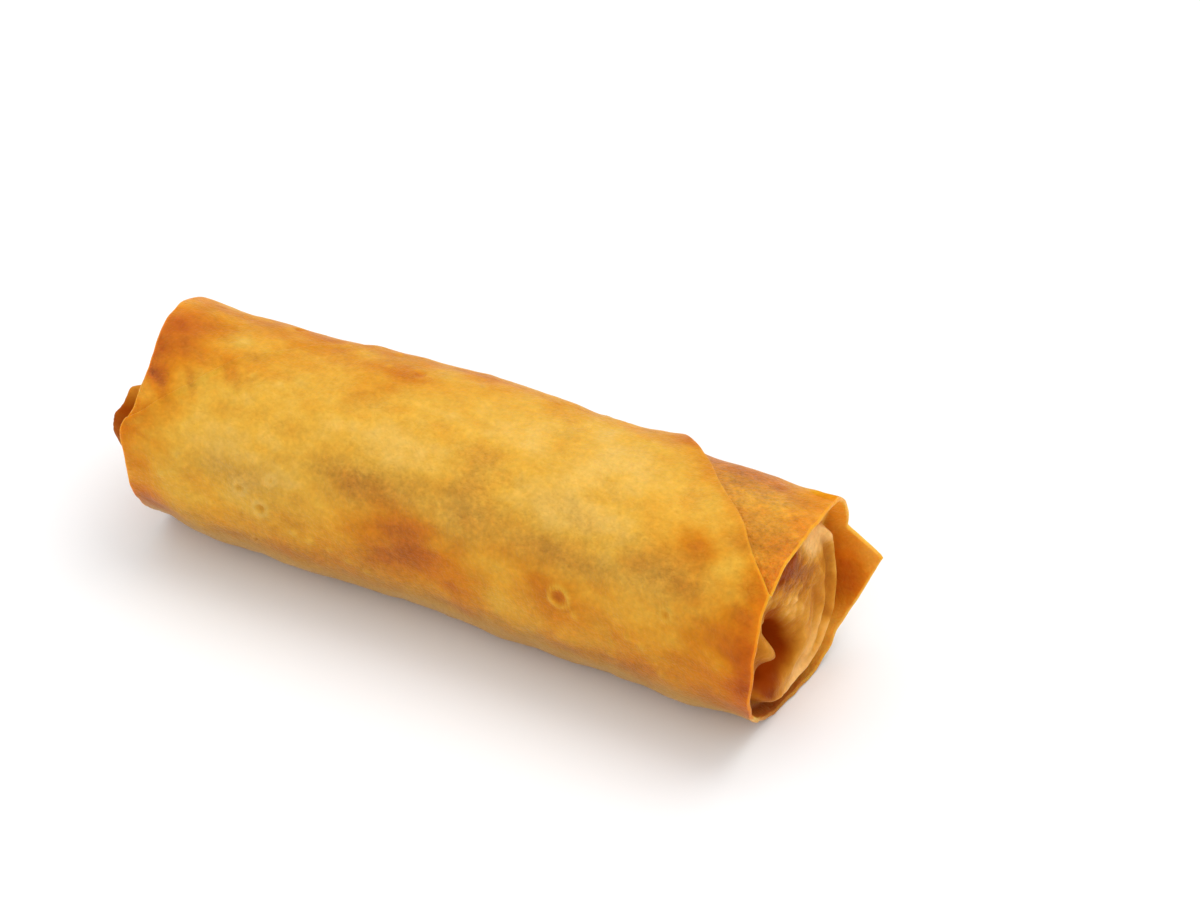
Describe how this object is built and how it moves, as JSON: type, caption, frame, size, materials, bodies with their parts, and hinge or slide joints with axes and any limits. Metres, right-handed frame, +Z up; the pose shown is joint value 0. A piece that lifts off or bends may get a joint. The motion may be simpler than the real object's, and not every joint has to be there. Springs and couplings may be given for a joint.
{
  "type": "fried spring roll",
  "caption": "Whole fried spring roll: a rolled pastry cylinder closed by a pointed flap, with folded-in ends inside loose rims.",
  "frame": {"origin": "on the surface the roll lies on, under the middle of its bounding box", "axes": "+X along the roll, towards the end with the pointed ear; +Z up; -Y is the side that the flap closes towards"},
  "size_m": [0.111, 0.0362, 0.0333],
  "materials": {
    "fried_pastry": "golden deep-fried wheat pastry, thin, blistered and satin with a little oil"
  },
  "bodies": {
    "root": {"spring_roll": "fried_pastry"}
  },
  "joints": []
}
